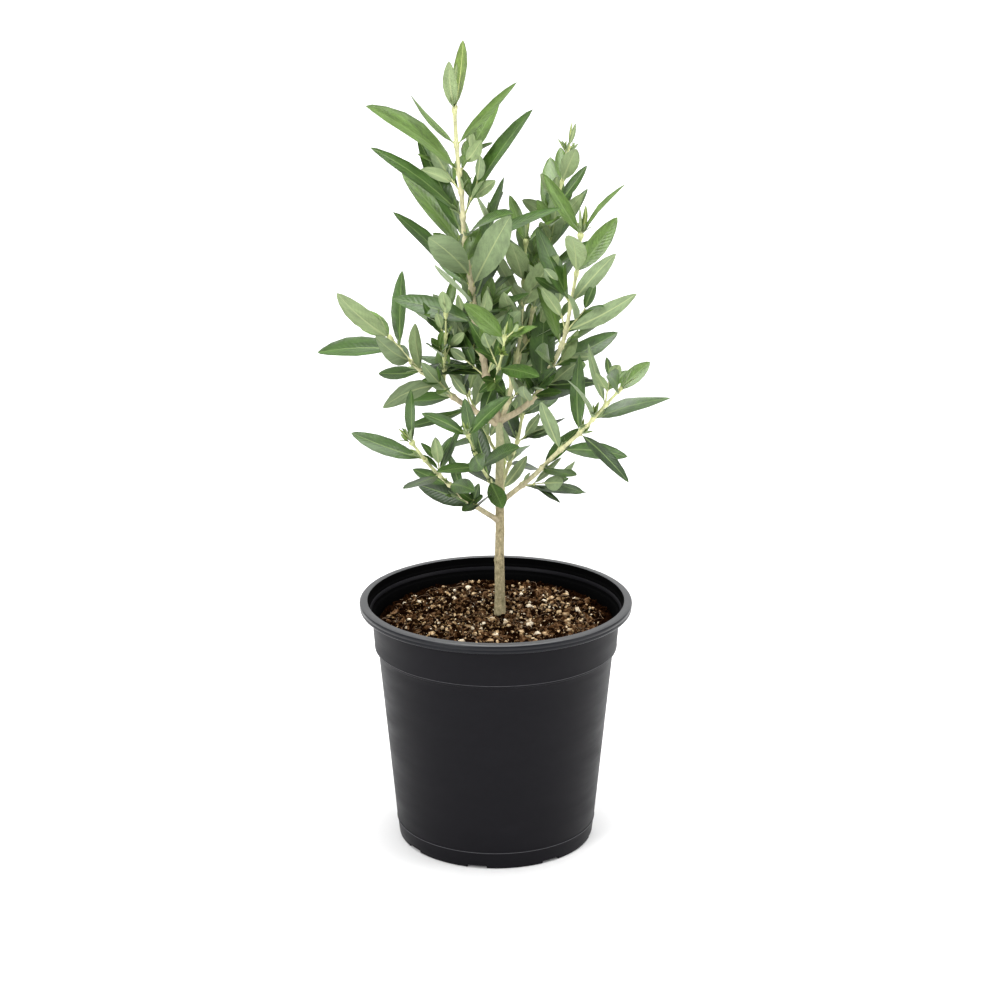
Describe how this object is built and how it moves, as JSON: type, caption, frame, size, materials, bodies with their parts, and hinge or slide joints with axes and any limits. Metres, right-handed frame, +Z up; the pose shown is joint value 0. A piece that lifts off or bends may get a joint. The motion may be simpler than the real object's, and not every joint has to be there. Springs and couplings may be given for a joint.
{
  "type": "potted olive tree",
  "caption": "Young olive tree with a slim trunk and an open, leafy crown, standing in a round plastic nursery pot of compost",
  "frame": {"origin": "centre of the pot's flat underside", "axes": "+Z up along the pot's axis, -Y towards the front, +X to the right"},
  "size_m": [0.2418, 0.1938, 0.5634],
  "materials": {
    "pot": "smooth matt black plastic",
    "compost": "coarse dark bark compost with pale grit",
    "bark": "thin grey-green bark",
    "foliage": "leathery leaves, green above and silver-green below"
  },
  "bodies": {
    "root": {"back_left_shoot": "bark", "foliage_back_left": "foliage", "foliage_crown_high": "foliage", "foliage_crown_low": "foliage", "foliage_crown_middle": "foliage", "foliage_crown_top": "foliage", "foliage_front_bough_end": "foliage", "foliage_gap_end": "foliage", "foliage_inner_left": "foliage", "foliage_inner_right": "foliage", "foliage_left_low": "foliage", "foliage_left_tip": "foliage", "foliage_left_upright_end": "foliage", "foliage_low_back_end": "foliage", "foliage_lower_left_low": "foliage", "foliage_lower_left_tip": "foliage", "foliage_lower_right_low": "foliage", "foliage_lower_right_tip": "foliage", "foliage_rear_bough_end": "foliage", "foliage_rear_low": "foliage", "foliage_rear_top": "foliage", "foliage_right_low": "foliage", "foliage_right_top": "foliage", "foliage_second_low": "foliage", "foliage_second_top": "foliage", "front_bough": "bark", "inner_left_shoot": "bark", "inner_right_shoot": "bark", "leader": "bark", "left_bough": "bark", "low_back_shoot": "bark", "lower_left_bough": "bark", "lower_right_bough": "bark", "pot": "pot", "potting_compost": "compost", "rear_bough": "bark", "rear_stem": "bark", "right_bough": "bark", "second_stem": "bark", "trunk": "bark"}
  },
  "joints": []
}
